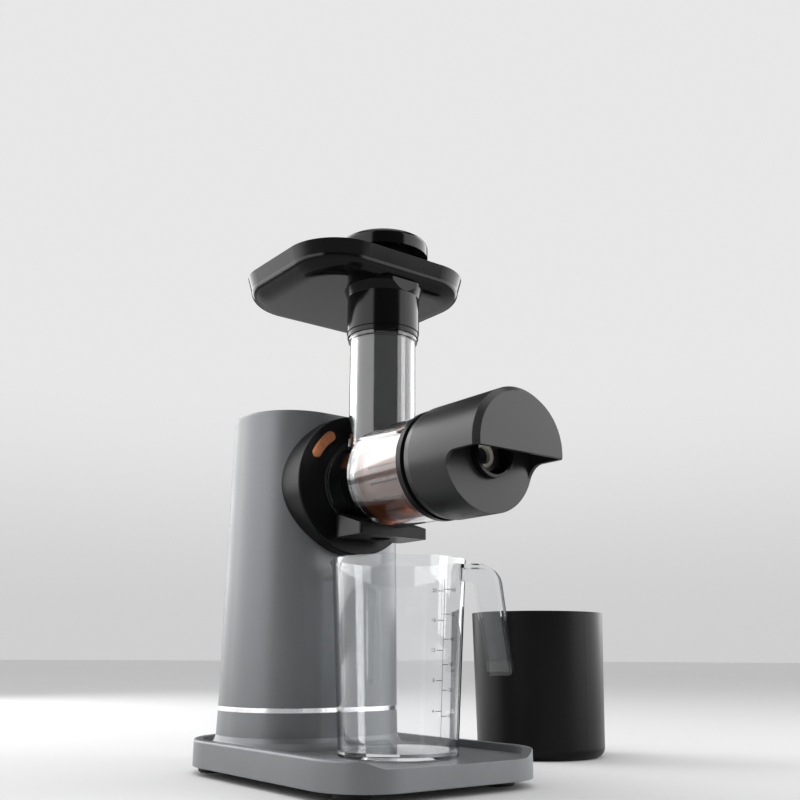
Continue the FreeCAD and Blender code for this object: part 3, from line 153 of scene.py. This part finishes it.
def noise(tree, scale, detail=3.0, stretch=(1.0, 1.0, 1.0)):
    """Noise in the piece's own coordinates."""
    place = tree.nodes.new("ShaderNodeTexCoord")
    mapping = tree.nodes.new("ShaderNodeMapping")
    mapping.inputs["Scale"].default_value = stretch
    texture = tree.nodes.new("ShaderNodeTexNoise")
    texture.inputs["Scale"].default_value = scale
    texture.inputs["Detail"].default_value = detail
    tree.links.new(place.outputs["Object"], mapping.inputs["Vector"])
    tree.links.new(mapping.outputs["Vector"], texture.inputs["Vector"])
    return texture


def spread(tree, source, low, high):
    """Maps the middle of a noise value's run to a range."""
    node = tree.nodes.new("ShaderNodeMapRange")
    node.inputs["From Min"].default_value = 0.3
    node.inputs["From Max"].default_value = 0.7
    node.inputs["To Min"].default_value = low
    node.inputs["To Max"].default_value = high
    tree.links.new(source, node.inputs["Value"])
    return node.outputs["Result"]


def tint(tree, source, colour, change):
    """Colour that varies a little about its value."""
    ramp = tree.nodes.new("ShaderNodeValToRGB")
    ramp.color_ramp.elements[0].position = 0.3
    ramp.color_ramp.elements[1].position = 0.7
    ramp.color_ramp.elements[0].color = [c * (1 - change) for c in colour] + [1]
    ramp.color_ramp.elements[1].color = [min(1, c * (1 + change)) for c in colour] + [1]
    tree.links.new(source, ramp.inputs["Fac"])
    return ramp.outputs["Color"]


def add_bump(tree, shader, source, distance, strength, edge=0.0):
    """Surface grain, with moulded edges rounded by the given radius."""
    bump = tree.nodes.new("ShaderNodeBump")
    bump.inputs["Distance"].default_value = distance
    bump.inputs["Strength"].default_value = strength
    tree.links.new(source, bump.inputs["Height"])
    if edge:
        bevel = tree.nodes.new("ShaderNodeBevel")
        bevel.samples = 4
        bevel.inputs["Radius"].default_value = edge
        tree.links.new(bevel.outputs["Normal"], bump.inputs["Normal"])
    tree.links.new(bump.outputs["Normal"], shader.inputs["Normal"])


def moulded(name, colour, roughness, grain=900.0, grain_depth=0.00002, edge=0.0004, metallic=0.0,
            shine=0.35):
    """Moulded or painted plastic with fine grain and slight wear in its gloss."""
    material, tree, shader = node_tree(name)
    fine = noise(tree, grain, 2.0)
    broad = noise(tree, WEAR_SCALE, 4.0)
    tree.links.new(tint(tree, broad.outputs["Fac"], colour, 0.05), shader.inputs["Base Color"])
    worn = spread(tree, broad.outputs["Fac"], roughness - 0.04, roughness + 0.04)
    tree.links.new(worn, shader.inputs["Roughness"])
    shader.inputs["Metallic"].default_value = metallic
    shader.inputs["Specular IOR Level"].default_value = shine
    add_bump(tree, shader, fine.outputs["Fac"], grain_depth, 0.4, edge)
    return material


def clear_plastic(name, colour, roughness, ior):
    """Clear plastic with slight waviness."""
    material, tree, shader = node_tree(name)
    broad = noise(tree, CLEAR_SCALE, 3.0)
    haze = spread(tree, broad.outputs["Fac"], roughness, roughness + 0.015)
    tree.links.new(haze, shader.inputs["Roughness"])
    tree.links.new(tint(tree, broad.outputs["Fac"], colour, 0.01), shader.inputs["Base Color"])
    shader.inputs["Transmission Weight"].default_value = 1.0
    shader.inputs["IOR"].default_value = ior
    add_bump(tree, shader, broad.outputs["Fac"], 0.0001, 0.05)
    return material


def tinted_plastic(name, colour, roughness, clearness):
    """Coloured plastic that lets part of the light through."""
    material = clear_plastic(name, colour, roughness, 1.55)
    material.node_tree.nodes["Principled BSDF"].inputs["Transmission Weight"].default_value = clearness
    return material


def metal(name, colour, roughness, stretch=(1.0, 1.0, 1.0), grain=400.0):
    """Metal with fine lines along one direction."""
    material, tree, shader = node_tree(name)
    lines = noise(tree, grain, 2.0, stretch)
    tree.links.new(tint(tree, lines.outputs["Fac"], colour, 0.08), shader.inputs["Base Color"])
    brushed = spread(tree, lines.outputs["Fac"], roughness - 0.05, roughness + 0.08)
    tree.links.new(brushed, shader.inputs["Roughness"])
    shader.inputs["Metallic"].default_value = 1.0
    add_bump(tree, shader, lines.outputs["Fac"], 0.00002, 0.3, 0.0003)
    return material


LOOKS = {
    "grey_shell": moulded("grey_shell", GREY, 0.40, metallic=0.25, edge=0.0008),
    "black_satin": moulded("black_satin", BLACK, 0.34, shine=0.15),
    "dark_cap": moulded("dark_cap", DARK, 0.34, shine=0.28),
    "black_gloss": moulded("black_gloss", GLOSS_BLACK, 0.14, grain=300.0, grain_depth=0.000004,
                           shine=0.15),
    "bright_trim": metal("bright_trim", CHROME, 0.14, (1, 1, 30)),
    "copper": moulded("copper", COPPER, 0.30, grain=1200.0, grain_depth=0.000006, edge=0.0002,
                      metallic=0.9),
    "clear": clear_plastic("clear", CLEAR, 0.01, 1.56),
    "amber": tinted_plastic("amber", AMBER, 0.10, 0.90),
    "rubber": moulded("rubber", RUBBER, 0.75, grain=1500.0, grain_depth=0.00006),
    "steel": metal("steel", STEEL, 0.28, (1, 12, 12)),
    "nylon": moulded("nylon", NYLON, 0.5),
    "magnet": moulded("magnet", MAGNET, 0.6),
    "board": moulded("board", BOARD, 0.45),
    "auger_plastic": moulded("auger_plastic", DARK, 0.35),
}


def dress_nodes():
    """Gives each solid's mesh the look of its material slot."""
    for part in frame["record"]["subparts"]:
        mesh = nodes[part["node"]].data
        mesh.materials.clear()
        mesh.materials.append(LOOKS[part["material_slot"]])


def marks_material():
    return moulded("scale_ink", INK, 0.5, grain=500.0, grain_depth=0.000002, edge=0.0)


def new_piece(name, points, faces, material, body):
    """Mesh piece that moves with a body of the frame."""
    mesh = bpy.data.meshes.new(name)
    mesh.from_pydata(points, [], faces)
    mesh.materials.append(material)
    piece = bpy.data.objects.new(name, mesh)
    bpy.context.scene.collection.objects.link(piece)
    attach(piece, body)
    return piece


def on_jug(bearing, height):
    """Point on the jug's outside, at a bearing from +X and a height above the worktop."""
    share = (height - JUG_LOW) / (JUG_TOP - JUG_LOW)
    radius = JUG_FOOT_RADIUS + share * (JUG_RIM_RADIUS - JUG_FOOT_RADIUS) + MARK_PROUD
    side = Vector((math.cos(bearing), math.sin(bearing), 0.0)) * radius
    return tower_axis + Vector((JUG_OFFSET, 0.0, 0.0)) + side + Vector((0.0, 0.0, height))


def strip(points, faces, start, end, low, high):
    """Curved strip on the jug's wall; start and end are bearings in degrees."""
    steps = max(1, int(abs(end - start) / STRIP_STEP))
    first = len(points)
    for i in range(steps + 1):
        bearing = math.radians(start + (end - start) * i / steps)
        points.append(on_jug(bearing, low))
        points.append(on_jug(bearing, high))
    for i in range(steps):
        a = first + 2 * i
        faces.append((a, a + 2, a + 3, a + 1))


def digits(points, faces, text, bearing_deg, height, align):
    """Plain number laid on the jug's wall."""
    curve = bpy.data.curves.new("digits", "FONT")
    curve.body = text
    curve.size = DIGIT_HEIGHT
    curve.align_x = align
    curve.align_y = "CENTER"
    lettering = bpy.data.objects.new("digits", curve)
    bpy.context.scene.collection.objects.link(lettering)
    bpy.context.view_layer.update()
    flat = lettering.to_mesh()
    first = len(points)
    for vertex in flat.vertices:
        bearing = math.radians(bearing_deg) + vertex.co.x / JUG_RIM_RADIUS
        points.append(on_jug(bearing, height + vertex.co.y))
    for face in flat.polygons:
        faces.append([first + v for v in face.vertices])
    lettering.to_mesh_clear()
    bpy.data.objects.remove(lettering)
    bpy.data.curves.remove(curve)


def jug_scale():
    """Two columns of marks with plain numbers, on both sides of a dividing line."""
    points = []
    faces = []
    half_width = math.degrees(MARK_THICK / JUG_RIM_RADIUS) / 2
    half_thick = MARK_THICK / 2
    strip(points, faces, SCALE_BEARING - half_width, SCALE_BEARING + half_width, SCALE_LOW, SCALE_HIGH)
    for text, level in LEFT_MARKS.items():
        z = level * MM
        strip(points, faces, SCALE_BEARING - MARK_REACH, SCALE_BEARING, z - half_thick, z + half_thick)
        digits(points, faces, text, SCALE_BEARING - NUMBER_REACH, z, "RIGHT")
    for text, level in RIGHT_MARKS.items():
        z = level * MM
        strip(points, faces, SCALE_BEARING, SCALE_BEARING + MARK_REACH, z - half_thick, z + half_thick)
        digits(points, faces, text, SCALE_BEARING + NUMBER_REACH, z, "LEFT")
    new_piece("jug_scale", points, faces, marks_material(), "jug")


def lathe(name, profile, centre_point, material, body):
    """Piece turned about a vertical axis from (radius, height) points, closed at both ends."""
    segments = LATHE_SEGMENTS
    points = []
    faces = []
    for radius, height in profile:
        for i in range(segments):
            a = 2 * math.pi * i / segments
            around = Vector((radius * math.cos(a), radius * math.sin(a), height))
            points.append(centre_point + around)
    rows = len(profile)
    for row in range(rows - 1):
        for i in range(segments):
            j = (i + 1) % segments
            a = row * segments
            faces.append((a + i, a + j, a + segments + j, a + segments + i))
    faces.append(tuple(range(segments))[::-1])
    faces.append(tuple((rows - 1) * segments + i for i in range(segments)))
    piece = new_piece(name, points, faces, material, body)
    for polygon in piece.data.polygons:
        polygon.use_smooth = len(polygon.vertices) == 4
    return piece


def pusher_crown():
    """Low raised disc on top of the pusher's grip, with a rounded edge."""
    low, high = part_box("pusher_cap")
    middle = (low + high) / 2
    base = Vector((middle.x, middle.y, high.z - CROWN_SEAT))
    round_from = CROWN_RADIUS - CROWN_EDGE
    straight_to = CROWN_HEIGHT - CROWN_EDGE
    profile = [(CROWN_RADIUS, 0.0), (CROWN_RADIUS, straight_to)]
    for i in range(1, CROWN_EDGE_STEPS + 1):
        a = math.radians(90.0 / CROWN_EDGE_STEPS * i)
        profile.append((round_from + CROWN_EDGE * math.cos(a), straight_to + CROWN_EDGE * math.sin(a)))
    lathe("pusher_crown", profile, base, LOOKS["black_gloss"], "pusher")


def studio_floor():
    """Plain pale floor at the worktop's height."""
    material, tree, shader = node_tree("studio_floor")
    cloud = noise(tree, FLOOR_SCALE, 2.0)
    pale = tint(tree, cloud.outputs["Fac"], FLOOR_COLOUR, 0.01)
    tree.links.new(pale, shader.inputs["Base Color"])
    shader.inputs["Roughness"].default_value = FLOOR_ROUGHNESS
    shader.inputs["Specular IOR Level"].default_value = FLOOR_SHINE
    half = FLOOR_SIZE / 2
    mesh = bpy.data.meshes.new("studio_floor")
    corners = [(-half, -half, 0), (half, -half, 0), (half, half, 0), (-half, half, 0)]
    mesh.from_pydata(corners, [], [(0, 1, 2, 3)])
    mesh.materials.append(material)
    floor = bpy.data.objects.new("studio_floor", mesh)
    bpy.context.scene.collection.objects.link(floor)


def math_node(tree, operation, first, second=None):
    """Math node on numbers or other nodes' outputs."""
    node = tree.nodes.new("ShaderNodeMath")
    node.operation = operation
    for index, value in enumerate((first, second)):
        if isinstance(value, (int, float)):
            node.inputs[index].default_value = value
        elif value is not None:
            tree.links.new(value, node.inputs[index])
    return node.outputs["Value"]


def soft_step(tree, value, low, high):
    """0 below the low value, 1 above the high one, and smooth between them."""
    node = tree.nodes.new("ShaderNodeMapRange")
    node.interpolation_type = "SMOOTHSTEP"
    node.inputs["From Min"].default_value = low
    node.inputs["From Max"].default_value = high
    tree.links.new(value, node.inputs["Value"])
    return node.outputs["Result"]


def window(tree, split, bearing, half_width, low, high, strength):
    """Softbox in the reflections: a patch of directions about a bearing, between two heights."""
    camera_bearing = math.atan2(CAMERA_PLACE.y, CAMERA_PLACE.x)
    a = camera_bearing + math.radians(bearing)
    along_x = math_node(tree, "MULTIPLY", split.outputs["X"], math.cos(a))
    along_y = math_node(tree, "MULTIPLY", split.outputs["Y"], math.sin(a))
    along = math_node(tree, "ADD", along_x, along_y)
    rise = math_node(tree, "POWER", split.outputs["Z"], 2.0)
    flat = math_node(tree, "SQRT", math_node(tree, "SUBTRACT", 1.0, rise))
    facing = math_node(tree, "DIVIDE", along, math_node(tree, "MAXIMUM", flat, 0.001))
    edge = math.cos(math.radians(half_width)) if half_width < 180.0 else FULL_TURN_EDGE
    inside = soft_step(tree, facing, edge - WINDOW_SOFTNESS, edge + WINDOW_SOFTNESS)
    above = soft_step(tree, split.outputs["Z"], low - WINDOW_SOFTNESS, low + WINDOW_SOFTNESS)
    below = soft_step(tree, split.outputs["Z"], high - WINDOW_SOFTNESS, high + WINDOW_SOFTNESS)
    band = math_node(tree, "MULTIPLY", above, math_node(tree, "SUBTRACT", 1.0, below))
    return math_node(tree, "MULTIPLY", math_node(tree, "MULTIPLY", inside, band), strength)


def studio_world():
    """Pale background, even fill, and softboxes that show only in reflections."""
    world = bpy.data.worlds.new("studio")
    world.use_nodes = True
    tree = world.node_tree
    back = tree.nodes["Background"]
    back.inputs["Color"].default_value = (*BACKGROUND, 1)
    place = tree.nodes.new("ShaderNodeTexCoord")
    split = tree.nodes.new("ShaderNodeSeparateXYZ")
    tree.links.new(place.outputs["Generated"], split.inputs["Vector"])
    reflected = REFLECTED_DARK
    for values in WINDOWS:
        reflected = math_node(tree, "ADD", window(tree, split, *values), reflected)
    path = tree.nodes.new("ShaderNodeLightPath")
    unseen = tree.nodes.new("ShaderNodeMix")
    unseen.inputs["A"].default_value = FILL_STRENGTH
    tree.links.new(path.outputs["Is Glossy Ray"], unseen.inputs["Factor"])
    tree.links.new(reflected, unseen.inputs["B"])
    seen = math_node(tree, "MAXIMUM", path.outputs["Is Camera Ray"], path.outputs["Is Transmission Ray"])
    fade = tree.nodes.new("ShaderNodeMapRange")
    fade.interpolation_type = "SMOOTHERSTEP"
    fade.inputs["From Max"].default_value = HORIZON_RISE
    fade.inputs["To Min"].default_value = HORIZON_STRENGTH
    tree.links.new(split.outputs["Z"], fade.inputs["Value"])
    strength = tree.nodes.new("ShaderNodeMix")
    tree.links.new(fade.outputs["Result"], strength.inputs["B"])
    tree.links.new(seen, strength.inputs["Factor"])
    tree.links.new(unseen.outputs["Result"], strength.inputs["A"])
    tree.links.new(strength.outputs["Result"], back.inputs["Strength"])
    bpy.context.scene.world = world


def softbox(name, place, target, width, height, power):
    """Area lamp that gives light but doesn't show in reflections."""
    light = bpy.data.lights.new(name, "AREA")
    light.shape = "RECTANGLE"
    light.size = width
    light.size_y = height
    light.energy = power
    lamp = bpy.data.objects.new(name, light)
    lamp.location = place
    lamp.visible_glossy = False
    lamp.rotation_euler = (target - place).to_track_quat("-Z", "Y").to_euler()
    bpy.context.scene.collection.objects.link(lamp)


def studio_lights():
    target = tower_axis + LAMP_TARGET
    for name, place, width, height, power in LAMPS:
        softbox(name, tower_axis + place, target, width, height, power)


def photo_camera():
    """Camera at the photograph's viewing angle."""
    data = bpy.data.cameras.new("photo_camera")
    data.sensor_width = SENSOR_MM
    data.lens = CAMERA_FOCAL_PX / IMAGE_PX * SENSOR_MM
    data.clip_start = 0.01
    camera = bpy.data.objects.new("photo_camera", data)
    turn = Matrix.Rotation(CAMERA_TURN, 4, "Z")
    tilt = Matrix.Rotation(math.radians(90) + CAMERA_TILT, 4, "X")
    roll = Matrix.Rotation(CAMERA_ROLL, 4, "Z")
    camera.matrix_world = Matrix.Translation(tower_axis + CAMERA_PLACE) @ turn @ tilt @ roll
    bpy.context.scene.collection.objects.link(camera)
    bpy.context.scene.camera = camera


dress_nodes()
jug_scale()
pusher_crown()
studio_floor()
studio_world()
studio_lights()
photo_camera()
bpy.context.scene.view_settings.view_transform = "Standard"
